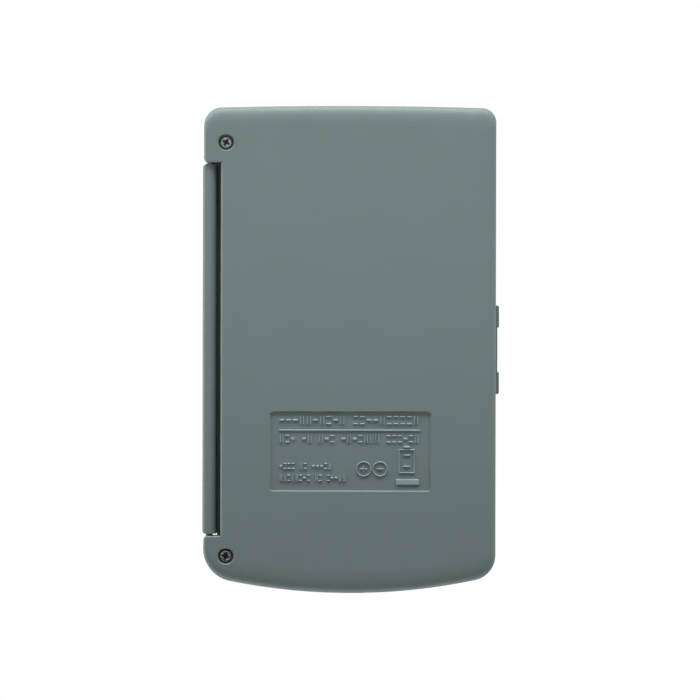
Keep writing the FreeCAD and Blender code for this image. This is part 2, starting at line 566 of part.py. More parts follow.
def cover_tray(low, hinge_edge):
    """The hollow on the cover's inside, over the keys; it stops short of the swing room at the ears."""
    tray = slab(low - 1, TOTAL_THICK - COVER_SKIN, COVER_RIM)
    tray = tray.common(box(-HALF_WIDTH, hinge_edge - COVER_RIM, -HALF_LENGTH, HALF_LENGTH, 0, TOTAL_THICK))
    solid_x, solid_y = NOTCH_X - TRAY_STOP, BAR_TOP_Y - COVER_RIM
    for y0, y1 in ((solid_y, HALF_LENGTH), (-HALF_LENGTH, -solid_y)):
        tray = tray.cut(box(solid_x, HALF_WIDTH, y0, y1, 0, TOTAL_THICK))
    return tray


def flip_cover():
    low = FACE_Z + COVER_LIFT
    plate = rounded_top(low)
    hinge_edge = HINGE_X - BAR_R - KNUCKLE_GAP
    plate = plate.cut(box(hinge_edge, HALF_WIDTH + 1, -HALF_LENGTH - 1, HALF_LENGTH + 1, 0, TOTAL_THICK + 1))
    plate = plate.cut(swing_room())
    parts = [plate]
    for end_y, side in ((BAR_TOP_Y, 1), (BAR_BOTTOM_Y, -1)):
        y0, y1 = sorted((end_y - side * KNUCKLE_LENGTH, end_y))
        parts.append(knuckle(hinge_edge - KNUCKLE_WEB, low, y0, y1))
    cuts = [cover_tray(low, hinge_edge)]
    for end_y, side in ((BAR_TOP_Y, 1), (BAR_BOTTOM_Y, -1)):
        y0, y1 = sorted((end_y - side * (KNUCKLE_LENGTH + 1), end_y - side * COVER_PIN_END))
        cuts.append(rod_y(HINGE_X, HIGH_PIVOT_Z, COVER_PIN_R, y0, y1))
    return joined(parts + thumb_catch()).cut(joined(cuts))


# ---- keys and mat -------------------------------------------------------------------------------------
def key(x, y, height):
    """A key cap with a dished top, and the flange that keeps it behind the casing's skin."""
    flange_top = FACE_Z - FRONT_SKIN - FLANGE_DROP
    cap = rounded_box(x, y, KEY_W, height, KEY_R, flange_top - KEY_JOIN, KEY_TOP_Z)
    rim = [e for e in cap.Edges if abs(e.BoundBox.ZMin - KEY_TOP_Z) < 0.01]
    cap = cap.makeFillet(KEY_EDGE_R, rim)
    dish = rod_y(x, KEY_TOP_Z + KEY_DISH_R - KEY_DISH_DEPTH, KEY_DISH_R, y - height, y + height)
    flange = rounded_box(x, y, KEY_W + 2 * FLANGE_OUT, height + 2 * FLANGE_OUT, KEY_R,
                         flange_top - FLANGE_THICK, flange_top)
    return cap.cut(dish).fuse(flange)


def key_mat():
    """One rubber sheet with a hollow dome under each key."""
    low = BOARD_Z + BOARD_THICK
    dome_top = FACE_Z - FRONT_SKIN - FLANGE_DROP - FLANGE_THICK - DOME_DROP
    x0, x1 = COLUMN_X[0] - KEY_W / 2 - MAT_SIDE, COLUMN_X[-1] + KEY_W / 2 + MAT_SIDE
    y1 = ROW_TOP_Y + KEY_H / 2 + MAT_TOP
    y0 = ROW_TOP_Y - ROW_PITCH * (len(KEY_ROWS) - 1) - KEY_H / 2 - MAT_SIDE
    sheet = rounded_box((x0 + x1) / 2, (y0 + y1) / 2, x1 - x0, y1 - y0, MAT_CORNER_R, low,
                        low + MAT_THICK)
    domes, hollows = [], []
    rise = dome_top - low - MAT_THICK
    for _, x, y, _ in key_cells():
        foot = Vec(x, y, low + MAT_THICK)
        domes.append(Part.makeCone(DOME_FOOT_R, DOME_TOP_R, rise, foot))
        hollows.append(Part.makeCone(DOME_FOOT_R - DOME_WALL, DOME_TOP_R - DOME_WALL,
                                     rise + MAT_THICK - DOME_WALL, Vec(x, y, low)))
    return sheet.multiFuse(domes).cut(Part.Compound(hollows))


# ---- electronics ----------------------------------------------------------------------------------------
def circuit_board():
    top = BOARD_Z + BOARD_THICK
    board = box(BOARD_X0, BOARD_X1, BOARD_Y0, BOARD_Y1, BOARD_Z, top)
    board = board.common(slab(BOARD_Z, top, FRONT_WALL + BOARD_EDGE_ROOM))
    x, y = SCREW_SPOTS[1]
    cuts = [rod_z(x, y, SCREW_BOSS_R + BOSS_ROOM, BOARD_Z - 1, FACE_Z)]
    cuts.append(rod_z(CELL_X, CELL_Y, CELL_R + CELL_RING + RING_ROOM, BOARD_Z - 1, FACE_Z))
    for x, y in BOARD_SPOTS:
        cuts.append(rod_z(x, y, BOARD_HOLE_R, BOARD_Z - 1, FACE_Z))
    return board.cut(joined(cuts))


def cross_recess(x, y, arm, half_width, floor_z):
    """A cross-shaped tool that sinks a driver recess from below up to floor_z."""
    cross = box(x - arm, x + arm, y - half_width, y + half_width, -1, floor_z)
    return cross.fuse(box(x - half_width, x + half_width, y - arm, y + arm, -1, floor_z))


def board_screws():
    screws = []
    head_z = BOARD_Z - BOARD_SCREW_HEAD_H
    for x, y in BOARD_SPOTS:
        head = rod_z(x, y, BOARD_SCREW_HEAD_R, head_z, BOARD_Z)
        shank = rod_z(x, y, BOARD_SCREW_R, BOARD_Z, FACE_Z - FRONT_SKIN - BOARD_SCREW_SHORT)
        cross = cross_recess(x, y, BOARD_RECESS_ARM, BOARD_RECESS_HALF_W, head_z + BOARD_RECESS_DEPTH)
        screws.append(head.fuse(shank).cut(cross))
    return Part.Compound(screws)


def casing_screws():
    """Cross-head screws that sink into the rear casing and bite in the front casing's bosses."""
    screws = []
    for x, y in SCREW_SPOTS:
        head = rod_z(x, y, SCREW_HEAD_R, SCREW_HEAD_Z, SCREW_HEAD_Z + SCREW_HEAD_H)
        rim = [e for e in head.Edges if abs(e.BoundBox.ZMax - SCREW_HEAD_Z) < 0.01]
        head = head.makeFillet(SCREW_EDGE_R, rim)
        shank = rod_z(x, y, SCREW_R, SCREW_HEAD_Z + SCREW_HEAD_H - BITE, SCREW_TIP_Z)
        cross = cross_recess(x, y, RECESS_ARM, RECESS_HALF_W, SCREW_HEAD_Z + RECESS_DEPTH)
        cross.rotate(Vec(x, y, 0), Vec(0, 0, 1), RECESS_TURN[(x, y)])
        cone = Part.makeCone(RECESS_CONE_R, RECESS_CONE_TIP_R, RECESS_CONE_DEPTH, Vec(x, y, SCREW_HEAD_Z))
        screws.append(head.fuse(shank).cut(joined([cross, cone])))
    return Part.Compound(screws)


def lcd_cell():
    """Two glass plates: the rear one is shorter, and leaves the contact ledge of the front one bare."""
    low = LCD_TOP_Z - LCD_THICK
    mid = low + LCD_THICK / 2
    x0, x1 = LCD_X - LCD_W / 2, LCD_X + LCD_W / 2
    y0, y1 = LCD_Y - LCD_H / 2, LCD_Y + LCD_H / 2
    return box(x0, x1, y0 + GLASS_LEDGE, y1, low, mid).fuse(box(x0, x1, y0, y1, mid, LCD_TOP_Z))


def lcd_frame():
    low = BOARD_Z + BOARD_THICK
    glass_z = LCD_TOP_Z - LCD_THICK
    frame = rounded_box(LCD_X, LCD_Y, LCD_W + 2 * FRAME_WALL, LCD_H + 2 * FRAME_WALL, FRAME_R, low, LCD_TOP_Z)
    x0, x1 = LCD_X - LCD_W / 2 - GAP, LCD_X + LCD_W / 2 + GAP
    y0, y1 = LCD_Y - LCD_H / 2, LCD_Y + LCD_H / 2
    half = VIEW_W / 2
    glass_seat = box(x0, x1, y0 - GAP, y1 + GAP, glass_z - WINDOW_SET, FACE_Z)
    zebra_seat = box(x0, x1, y0 - GAP, y0 + ZEBRA_W + GAP, low - 1, FACE_Z)
    opening = box(LCD_X - half, LCD_X + half, y0 + REFLECTOR_LOW, y1 - REFLECTOR_HIGH, low - 1, FACE_Z)
    return frame.cut(joined([glass_seat, zebra_seat, opening]))


def zebra_strip():
    """The striped rubber strip that joins the board's contacts to the glass ledge."""
    y0 = LCD_Y - LCD_H / 2
    half = LCD_W / 2 - ZEBRA_END
    return box(LCD_X - half, LCD_X + half, y0, y0 + ZEBRA_W, BOARD_Z + BOARD_THICK, LCD_TOP_Z - LCD_THICK / 2)


def lcd_reflector():
    glass_z = LCD_TOP_Z - LCD_THICK
    half = VIEW_W / 2 - GAP
    y0, y1 = LCD_Y - LCD_H / 2 + REFLECTOR_LOW + GAP, LCD_Y + LCD_H / 2 - REFLECTOR_HIGH - GAP
    return box(LCD_X - half, LCD_X + half, y0, y1, glass_z - STRIP, glass_z)


def display_window():
    top = FACE_Z - WINDOW_SET
    return rounded_box(LCD_X, LCD_Y, WINDOW_W, WINDOW_H, WINDOW_R, top - WINDOW_THICK, top)


def chip_coating():
    """The black drop of resin that covers the chip on the rear of the board."""
    ball_r = (DROP_R ** 2 + DROP_H ** 2) / (2 * DROP_H)
    ball = Part.makeSphere(ball_r, Vec(DROP_X, DROP_Y, BOARD_Z - DROP_H + ball_r))
    return ball.common(rod_z(DROP_X, DROP_Y, 2 * DROP_R, 0, BOARD_Z))


def chip_parts():
    half_w, half_l = CHIP_W / 2, CHIP_L / 2
    return Part.Compound([box(x - half_w, x + half_w, y - half_l, y + half_l, BOARD_Z - CHIP_H, BOARD_Z)
                          for x, y in CHIP_SPOTS])


def button_cell():
    """A can with a narrower insulated lid, lid up towards the keypad."""
    top = CELL_Z + CELL_THICK
    can = rod_z(CELL_X, CELL_Y, CELL_R, CELL_Z, top - CELL_LID_H)
    rim = [e for e in can.Edges if abs(e.BoundBox.ZLength) < 1e-6]
    can = can.makeFillet(CELL_EDGE_R, rim)
    return can.fuse(rod_z(CELL_X, CELL_Y, CELL_R - CELL_LID_IN, top - CELL_LID_H - BITE, top))


def cell_contact_negative():
    """A leaf that lies on the lid of the cell, with a foot on the board."""
    top = CELL_Z + CELL_THICK + STRIP
    board_top = BOARD_Z + BOARD_THICK
    x0, x1 = CELL_X + LEAF_X0, CELL_X + LEAF_ARM_X1
    foot_y = BOARD_Y1 - LEAF_FOOT
    leaf = box(x0, CELL_X + LEAF_X1, CELL_Y - LEAF_HALF_W, CELL_Y + LEAF_HALF_W, top - STRIP, top)
    arm = box(x0, x1, BOARD_Y1 - STRIP, CELL_Y + LEAF_HALF_W, top - STRIP, top)
    rise = box(x0, x1, BOARD_Y1 - STRIP, BOARD_Y1, board_top, top)
    foot = box(x0, x1, foot_y, BOARD_Y1, board_top, board_top + STRIP)
    return joined([leaf, arm, rise, foot])


def cell_contact_positive():
    """A strip that presses on the side of the can, with a foot on the board."""
    side_x = CELL_X + CELL_R
    board_top = BOARD_Z + BOARD_THICK
    foot_y = BOARD_Y1 - BLADE_FOOT
    blade = box(side_x, side_x + STRIP, foot_y, CELL_Y + BLADE_REACH, CELL_Z + BLADE_LOW, CELL_Z + CELL_THICK)
    blade = blade.cut(box(side_x - 1, side_x + 1, 0, BOARD_Y1 + BOARD_EDGE_ROOM, 0, board_top))
    foot = box(side_x, side_x + BLADE_FOOT_W, foot_y, BOARD_Y1, board_top, board_top + STRIP)
    return blade.fuse(foot)


def cell_pad():
    """Soft foam that keeps the leaf on the cell."""
    low = CELL_Z + CELL_THICK + STRIP
    return box(CELL_X - PAD_W / 2, CELL_X + PAD_W / 2, CELL_Y - PAD_H / 2, CELL_Y + PAD_H / 2,
               low, FACE_Z - FRONT_SKIN)


def build_all():
    nodes = {
        "rear_casing": rear_casing(),
        "front_casing": front_casing(),
        "hinge_bar": hinge_bar(),
        "hinge_pins": hinge_pins(),
        "flip_cover": flip_cover(),
        "cover_pins": cover_pins(),
        "key_mat": key_mat(),
        "circuit_board": circuit_board(),
        "board_screws": board_screws(),
        "casing_screws": casing_screws(),
        "display_window": display_window(),
        "lcd_cell": lcd_cell(),
        "lcd_reflector": lcd_reflector(),
        "lcd_frame": lcd_frame(),
        "zebra_strip": zebra_strip(),
        "chip_coating": chip_coating(),
        "chip_parts": chip_parts(),
        "button_cell": button_cell(),
        "cell_contact_positive": cell_contact_positive(),
        "cell_contact_negative": cell_contact_negative(),
        "cell_pad": cell_pad(),
    }
    for name, x, y, height in key_cells():
        nodes["key_" + name] = key(x, y, height)
    return nodes


os.makedirs("parts", exist_ok=True)
for node, shape in build_all().items():
    state = "valid" if shape.isValid() else "BAD"
    print(node, len(shape.Solids), "solids", round(shape.Volume, 2), "mm3", state)
    shape.exportStep("parts/" + node + ".step")
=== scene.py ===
import bpy
import bmesh
import json
import math
import random
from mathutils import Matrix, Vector


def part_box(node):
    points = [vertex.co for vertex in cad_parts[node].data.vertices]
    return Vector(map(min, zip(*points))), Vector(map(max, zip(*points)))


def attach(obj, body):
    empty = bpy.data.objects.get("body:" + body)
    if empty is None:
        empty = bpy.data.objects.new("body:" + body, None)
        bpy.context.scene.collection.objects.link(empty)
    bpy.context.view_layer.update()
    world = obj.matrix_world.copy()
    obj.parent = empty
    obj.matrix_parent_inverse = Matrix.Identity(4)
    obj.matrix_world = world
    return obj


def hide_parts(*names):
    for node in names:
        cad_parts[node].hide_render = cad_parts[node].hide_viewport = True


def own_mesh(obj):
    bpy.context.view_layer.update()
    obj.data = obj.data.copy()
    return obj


# A pocket calculator seen on its rear face, with its flip cover shut.
# X runs to the hinge, Y to the display end and Z up through the keypad and cover.
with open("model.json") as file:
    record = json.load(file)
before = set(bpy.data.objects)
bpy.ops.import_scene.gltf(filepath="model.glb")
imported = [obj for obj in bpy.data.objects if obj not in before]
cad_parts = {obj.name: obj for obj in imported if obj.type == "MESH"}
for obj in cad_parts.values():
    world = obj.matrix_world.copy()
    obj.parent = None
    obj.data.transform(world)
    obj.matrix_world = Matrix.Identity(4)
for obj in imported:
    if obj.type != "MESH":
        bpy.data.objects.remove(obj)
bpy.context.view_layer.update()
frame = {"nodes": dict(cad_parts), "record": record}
scene = bpy.context.scene
scene.view_settings.view_transform = "Standard"
MM = 0.001
SLOTS = {part["node"]: part["material_slot"] for part in frame["record"]["subparts"]}
REAR_FACE_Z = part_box("rear_casing")[0].z


# ---- camera -------------------------------------------------------------------------------------
VIEW_WIDTH = 167.45 * MM        # what the picture spans at the rear face
VIEW_CENTRE = (-0.06 * MM, -0.13 * MM)
VIEW_ROLL = math.radians(-0.13)
LENS, SENSOR = 300.0, 36.0
CLIP_END = 20.0


def make_camera():
    """A long lens straight below the rear face, with the display end at the top of the picture."""
    data = bpy.data.cameras.new("camera")
    data.lens = LENS
    data.sensor_width = SENSOR
    data.clip_end = CLIP_END
    camera = bpy.data.objects.new("camera", data)
    scene.collection.objects.link(camera)
    camera.location = (*VIEW_CENTRE, -VIEW_WIDTH * LENS / SENSOR)
    camera.rotation_euler = (0.0, math.pi, VIEW_ROLL)
    scene.camera = camera


# ---- light --------------------------------------------------------------------------------------
# name, place, what it points at, size in m, power in W
MIDDLE = (0.0, 0.0, 0.0)
LAMPS = [
    ("low_key", (0.0, 0.54, -0.2), (0.0, 0.02, 0.0), (1.1, 0.2), 7.2),
    ("front", (0.0, 0.028, -0.14), (0.0, 0.028, 0.0), (0.3, 0.06), 0.077),
    ("hinge_side", (0.4, 0.12, -0.09), MIDDLE, (0.3, 0.1), 0.22),
    ("free_side", (-0.4, 0.1, -0.06), MIDDLE, (0.3, 0.08), 0.24),
    ("top_rim", (0.0, 0.4, 0.08), MIDDLE, (0.7, 0.1), 0.25),
    ("bottom_rim", (0.0, -0.4, -0.03), MIDDLE, (0.7, 0.03), 1.1),
    ("hinge_rim", (0.4, 0.0, 0.05), MIDDLE, (0.7, 0.03), 1.4),
    ("overhead", (0.1, 0.25, 0.8), MIDDLE, (0.7, 0.5), 1.0),
]
# the studio's light along each axis: from, to, its strength there and there
STUDIO_RAMPS = [("Y", -0.9, 0.95, 0.12, 0.23), ("Z", -0.2, 0.3, 0.0, 0.7)]
STUDIO_TINT = (0.97, 0.99, 1.0, 1.0)
WHITE = (1.0, 1.0, 1.0, 1.0)


def make_lamps():
    for name, place, target, size, power in LAMPS:
        data = bpy.data.lights.new(name, "AREA")
        data.shape = "RECTANGLE"
        data.size, data.size_y = size
        data.energy = power
        lamp = bpy.data.objects.new(name, data)
        lamp.location = place
        lamp.rotation_euler = (Vector(target) - Vector(place)).to_track_quat("-Z", "Y").to_euler()
        scene.collection.objects.link(lamp)


def set_range(node, from_least, from_most, to_least, to_most):
    node.inputs["From Min"].default_value = from_least
    node.inputs["From Max"].default_value = from_most
    node.inputs["To Min"].default_value = to_least
    node.inputs["To Max"].default_value = to_most


def make_world():
    """White to the camera; as light, brighter above than below, and towards the display end."""
    world = bpy.data.worlds.new("studio")
    scene.world = world
    world.use_nodes = True
    tree = world.node_tree
    tree.nodes.clear()
    new, link = tree.nodes.new, tree.links.new
    axes = new("ShaderNodeSeparateXYZ")
    link(new("ShaderNodeTexCoord").outputs["Generated"], axes.inputs[0])
    total = new("ShaderNodeMath")
    for i, (axis, *limits) in enumerate(STUDIO_RAMPS):
        ramp = new("ShaderNodeMapRange")
        ramp.interpolation_type = "SMOOTHSTEP"
        set_range(ramp, *limits)
        link(axes.outputs[axis], ramp.inputs["Value"])
        link(ramp.outputs["Result"], total.inputs[i])
    light = new("ShaderNodeBackground")
    light.inputs["Color"].default_value = STUDIO_TINT
    link(total.outputs[0], light.inputs["Strength"])
    backdrop = new("ShaderNodeBackground")
    backdrop.inputs["Color"].default_value = WHITE
    mix = new("ShaderNodeMixShader")
    link(new("ShaderNodeLightPath").outputs["Is Camera Ray"], mix.inputs["Fac"])
    link(light.outputs[0], mix.inputs[1])
    link(backdrop.outputs[0], mix.inputs[2])
    link(mix.outputs[0], new("ShaderNodeOutputWorld").inputs["Surface"])


# ---- materials ----------------------------------------------------------------------------------
CASING_GREY = (0.135, 0.178, 0.178)
SCREW_FACE_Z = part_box("casing_screws")[0].z
SOFT_EDGE_SAMPLES = 4


class Finish:
    """A material with a Principled shader, and short calls for the nodes that feed it."""

    def __init__(self, name, colour, roughness, **sockets):
        self.material = bpy.data.materials.new(name)
        self.material.use_nodes = True
        self.tree = self.material.node_tree
        self.shader = self.tree.nodes["Principled BSDF"]
        self.shader.inputs["Base Color"].default_value = (*colour, 1.0)
        self.shader.inputs["Roughness"].default_value = roughness
        for key, value in sockets.items():
            self.shader.inputs[key.replace("_", " ")].default_value = value
        self.place = self.new("ShaderNodeTexCoord").outputs["Object"]

    def new(self, kind):
        return self.tree.nodes.new(kind)

    def link(self, a, b):
        self.tree.links.new(a, b)

    def mix(self, factor, first, second):
        node = self.new("ShaderNodeMixShader")
        for i, source in enumerate((factor, first, second)):
            self.link(source, node.inputs[i])
        return node.outputs[0]

    def noise(self, scale, detail=2.0, stretch=None):
        node = self.new("ShaderNodeTexNoise")
        node.inputs["Scale"].default_value = scale
        node.inputs["Detail"].default_value = detail
        source = self.place
        if stretch:
            mapping = self.new("ShaderNodeMapping")
            mapping.inputs["Scale"].default_value = stretch
            self.link(self.place, mapping.inputs["Vector"])
            source = mapping.outputs[0]
        self.link(source, node.inputs["Vector"])
        return node.outputs["Fac"]

    def between(self, factor, colour_a, colour_b, start=0.35, end=0.65):
        """Base colour that goes from colour_a to colour_b as factor goes from start to end."""
        ramp = self.new("ShaderNodeValToRGB")
        first, last = ramp.color_ramp.elements
        first.position, first.color = start, (*colour_a, 1.0)
        last.position, last.color = end, (*colour_b, 1.0)
        self.link(factor, ramp.inputs["Fac"])
        self.link(ramp.outputs["Color"], self.shader.inputs["Base Color"])

    def sheen_range(self, factor, least, most, start=0.3, end=0.7):
        """Roughness from least to most as factor goes from start to end."""
        node = self.new("ShaderNodeMapRange")
        set_range(node, start, end, least, most)
        self.link(factor, node.inputs["Value"])
        self.link(node.outputs["Result"], self.shader.inputs["Roughness"])

    def grain(self, factor, strength, depth, soft_edge=0.0):
        """Bump from factor; soft_edge also rounds the look of sharp edges over that radius."""
        bump = self.new("ShaderNodeBump")
        bump.inputs["Strength"].default_value = strength
        bump.inputs["Distance"].default_value = depth
        self.link(factor, bump.inputs["Height"])
        if soft_edge:
            bevel = self.new("ShaderNodeBevel")
            bevel.samples = SOFT_EDGE_SAMPLES
            bevel.inputs["Radius"].default_value = soft_edge
            self.link(bevel.outputs["Normal"], bump.inputs["Normal"])
        self.link(bump.outputs["Normal"], self.shader.inputs["Normal"])


def shade(colour, factor):
    return tuple(c * factor for c in colour)


def moulded_plastic(name, colour, roughness):
    """Spark-textured injection moulding: an even tone with a very fine grain."""
    finish = Finish(name, colour, roughness)
    tone, sheen = 0.01, 0.02
    finish.between(finish.noise(scale=70.0), shade(colour, 1 - tone), shade(colour, 1 + tone))
    finish.sheen_range(finish.noise(scale=900.0), roughness - sheen, roughness + sheen)
    grain = finish.noise(scale=8000.0, detail=3.0)
    finish.grain(grain, strength=0.25, depth=0.012 * MM, soft_edge=0.12 * MM)
    return finish.material


def key_plastic(name, colour):
    finish = Finish(name, colour, roughness=0.38)
    tone = 0.03
    finish.between(finish.noise(scale=150.0), shade(colour, 1 - tone), shade(colour, 1 + tone))
    finish.grain(finish.noise(scale=5000.0), strength=0.15, depth=0.008 * MM, soft_edge=0.08 * MM)
    return finish.material


def rubber():
    finish = Finish("mat_rubber", (0.035, 0.037, 0.04), roughness=0.75)
    finish.between(finish.noise(scale=900.0), (0.03, 0.032, 0.035), (0.045, 0.047, 0.05))
    finish.grain(finish.noise(scale=4000.0), strength=0.3, depth=0.02 * MM)
    return finish.material


def drawn_steel(name, colour, roughness, stretch):
    """Machined steel, with fine marks drawn out along one axis."""
    finish = Finish(name, colour, roughness, Metallic=1.0)
    marks = finish.noise(scale=2500.0, detail=3.0, stretch=stretch)
    finish.between(marks, shade(colour, 0.75), shade(colour, 1.1))
    finish.sheen_range(marks, roughness - 0.08, roughness + 0.1)
    finish.grain(marks, strength=0.3, depth=0.01 * MM)
    return finish.material


def screw_steel():
    """Plated steel with tooling marks that throw flecks, and painted shade in the driver recess: the
    colour darkens with depth there.
    """
    colour = (0.34, 0.36, 0.345)
    recess_shade_from, recess_shade_to = SCREW_FACE_Z + 0.05 * MM, SCREW_FACE_Z + 0.35 * MM
    finish = Finish("screw_steel", colour, roughness=0.3, Metallic=1.0)
    marks = finish.noise(scale=1700.0, detail=1.0, stretch=(1.0, 2.0, 1.0))
    axes = finish.new("ShaderNodeSeparateXYZ")
    finish.link(finish.place, axes.inputs[0])
    # painted shade: the base colour darkens with depth into the driver recess, down to 0.15 of the steel's
    # colour
    depth = finish.new("ShaderNodeMapRange")
    set_range(depth, recess_shade_from, recess_shade_to, 0.0, 1.0)
    finish.link(axes.outputs["Z"], depth.inputs["Value"])
    finish.between(depth.outputs["Result"], colour, shade(colour, 0.15), start=0.0, end=1.0)
    finish.sheen_range(marks, least=0.25, most=0.4)
    finish.grain(marks, strength=1.0, depth=0.12 * MM)
    return finish.material


def clear_plate():
    """Clear acrylic; its roughness varies a little, as a wiped surface does."""
    finish = Finish("window_clear", (0.97, 0.99, 0.98), roughness=0.02, IOR=1.49, Transmission_Weight=1.0)
    finish.sheen_range(finish.noise(scale=60.0), least=0.02, most=0.05)
    return finish.material


def lcd_glass():
    """Liquid crystal glass under its polariser film: pale grey-green, satin."""
    finish = Finish("lcd_glass", (0.4, 0.44, 0.34), roughness=0.3, IOR=1.52)
    finish.between(finish.noise(scale=500.0), (0.385, 0.425, 0.325), (0.415, 0.455, 0.355))
    finish.sheen_range(finish.noise(scale=80.0), least=0.26, most=0.34)
    return finish.material


def segment_tint():
    finish = Finish("segment_tint", (0.24, 0.27, 0.21), roughness=0.35)
    finish.between(finish.noise(scale=800.0), (0.23, 0.26, 0.2), (0.25, 0.28, 0.22))
    return finish.material


def foil():
    finish = Finish("reflector_foil", (0.55, 0.6, 0.52), roughness=0.45, Metallic=0.6)
    finish.between(finish.noise(scale=2200.0), (0.5, 0.55, 0.47), (0.6, 0.65, 0.57))
    finish.grain(finish.noise(scale=3000.0), strength=0.2, depth=0.01 * MM)
    return finish.material


def laminate():
    """Green solder mask with tracks that show through as paler lines."""
    finish = Finish("board_laminate", (0.02, 0.12, 0.05), roughness=0.35)
    bricks = finish.new("ShaderNodeTexBrick")
    bricks.inputs["Scale"].default_value = 60.0
    bricks.inputs["Mortar Size"].default_value = 0.03
    finish.link(finish.place, bricks.inputs["Vector"])
    tracks = bricks.outputs["Fac"]
    finish.between(tracks, (0.015, 0.1, 0.04), (0.06, 0.2, 0.08), start=0.2, end=0.8)
    finish.grain(tracks, strength=0.4, depth=0.03 * MM)
    return finish.material


def resin():
    finish = Finish("black_resin", (0.012, 0.012, 0.013), roughness=0.22)
    finish.grain(finish.noise(scale=300.0), strength=0.3, depth=0.05 * MM)
    return finish.material


def ceramic():
    finish = Finish("chip_ceramic", (0.35, 0.28, 0.2), roughness=0.5)
    finish.between(finish.noise(scale=1500.0), (0.3, 0.24, 0.17), (0.4, 0.32, 0.24))
    return finish.material


def brass():
    finish = Finish("contact_brass", (0.75, 0.6, 0.32), roughness=0.3, Metallic=1.0)
    marks = finish.noise(scale=1800.0, stretch=(1.0, 0.1, 1.0))
    finish.between(marks, (0.68, 0.53, 0.27), (0.8, 0.65, 0.36))
    return finish.material


def foam():
    finish = Finish("pad_foam", (0.1, 0.1, 0.11), roughness=0.9)
    cells = finish.new("ShaderNodeTexVoronoi")
    cells.inputs["Scale"].default_value = 2500.0
    finish.link(finish.place, cells.inputs["Vector"])
    finish.grain(cells.outputs["Distance"], strength=0.8, depth=0.15 * MM)
    return finish.material


FINISHES = {
    "casing_plastic": moulded_plastic("casing_plastic", CASING_GREY, roughness=0.5),
    "frame_plastic": moulded_plastic("frame_plastic", (0.6, 0.6, 0.58), roughness=0.55),
    "key_light": key_plastic("key_light", (0.62, 0.64, 0.64)),
    "key_dark": key_plastic("key_dark", (0.06, 0.068, 0.07)),
    "key_accent": key_plastic("key_accent", (0.5, 0.12, 0.05)),
    "window_clear": clear_plate(),
    "lcd_glass": lcd_glass(),
    "reflector_foil": foil(),
    "mat_rubber": rubber(),
    "board_laminate": laminate(),
    "black_resin": resin(),
    "chip_ceramic": ceramic(),
    "screw_steel": screw_steel(),
    # the pins' dark colour is painted shade, standing in for the shade in the hinge slot where they sit
    "pin_steel": drawn_steel("pin_steel", (0.13, 0.135, 0.135), roughness=0.4, stretch=(1.0, 0.05, 1.0)),
    "cell_steel": drawn_steel("cell_steel", (0.66, 0.66, 0.66), roughness=0.25, stretch=(1.0, 1.0, 0.1)),
    "contact_brass": brass(),
    "pad_foam": foam(),
}


def dress_nodes():
    """Every CAD node gets the finish of its slot in the record."""
    for node, slot in SLOTS.items():
        mesh = frame["nodes"][node].data
        mesh.materials.clear()
        mesh.materials.append(FINISHES[slot])


# ---- strokes: raised marks, legends and segments ------------------------------------------------
SHARPEST = 0.5                  # a mitre is never drawn out by more than 1 / this


def arc(cx, cy, rx, ry, start, end, steps=12):
    """Points along part of an ellipse, angles in degrees."""
    turn = [math.radians(start + (end - start) * i / steps) for i in range(steps + 1)]
    return [(cx + rx * math.cos(a), cy + ry * math.sin(a)) for a in turn]


def ring(cx, cy, rx, ry, count=24):
    """A whole ellipse of count sides, which ends on its first point."""
    return arc(cx, cy, rx, ry, 0, 360 - 360 / count, count - 1) + [(cx + rx, cy)]


def stroke(bm, path, width, surface, height, slope=0.0):
    """A raised ribbon along a path, closed where the path ends on its first point.
    surface(x, y) is the height of what it stands on, and a negative height raises it towards -Z.
    slope is how far each side leans in."""
    closed = path[0] == path[-1]
    if closed:
        path = path[:-1]
    count = len(path)
    half = width / 2
    profile = ((-half, 0.0), (slope - half, height), (half - slope, height), (half, 0.0))
    sides = []
    for i, (x, y) in enumerate(path):
        before = path[(i - 1) % count] if closed or i else path[i]
        after = path[(i + 1) % count] if closed or i < count - 1 else path[i]
        first = Vector((x - before[0], y - before[1]))
        second = Vector((after[0] - x, after[1] - y))
        along = (first.normalized() + second.normalized()).normalized()
        across = Vector((-along.y, along.x))
        straight = second if second.length else first
        lean = max(SHARPEST, abs(across.dot(Vector((-straight.y, straight.x)).normalized())))
        base = surface(x, y)
        sides.append([bm.verts.new((x + across.x * reach / lean, y + across.y * reach / lean, base + rise))
                      for reach, rise in profile])
    for i in range(count if closed else count - 1):
        a, b = sides[i], sides[(i + 1) % count]
        for k in range(4):
            bm.faces.new((a[k], a[(k + 1) % 4], b[(k + 1) % 4], b[k]))
    if not closed:
        bm.faces.new(sides[0][::-1])
        bm.faces.new(sides[-1])


def flat_level(z):
    return lambda x, y: z


def finish_piece(bm, name, material, body):
    bmesh.ops.recalc_face_normals(bm, faces=bm.faces)
    mesh = bpy.data.meshes.new(name)
    bm.to_mesh(mesh)
    bm.free()
    mesh.materials.append(material)
    piece = bpy.data.objects.new(name, mesh)
    scene.collection.objects.link(piece)
    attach(piece, body)
    return piece


# ---- label on the rear face: generic marks where a real one would be lettered, in millimetres -----
LABEL_DEPTH = 0.5
MARK_RISE, MARK_SINK, MARK_SLOPE = 0.34, 0.01, 0.17
MARK_WIDTH, BLOCK_WIDTH, RING_WIDTH, CELL_WIDTH = 0.4, 0.6, 0.36, 0.34
MARK_SHARE = 0.7                # of its pitch that a mark fills
# how much paler the marks' colour is painted, a painted highlight for the light on them, and their
# roughness
MARK_HIGHLIGHT_PALER, MARK_ROUGHNESS = 1.6, 0.4
MARK_KINDS = ("across", "uprights", "uprights", "block")
ROW_LEFT, ROW_RIGHT = 16.75, -16.95
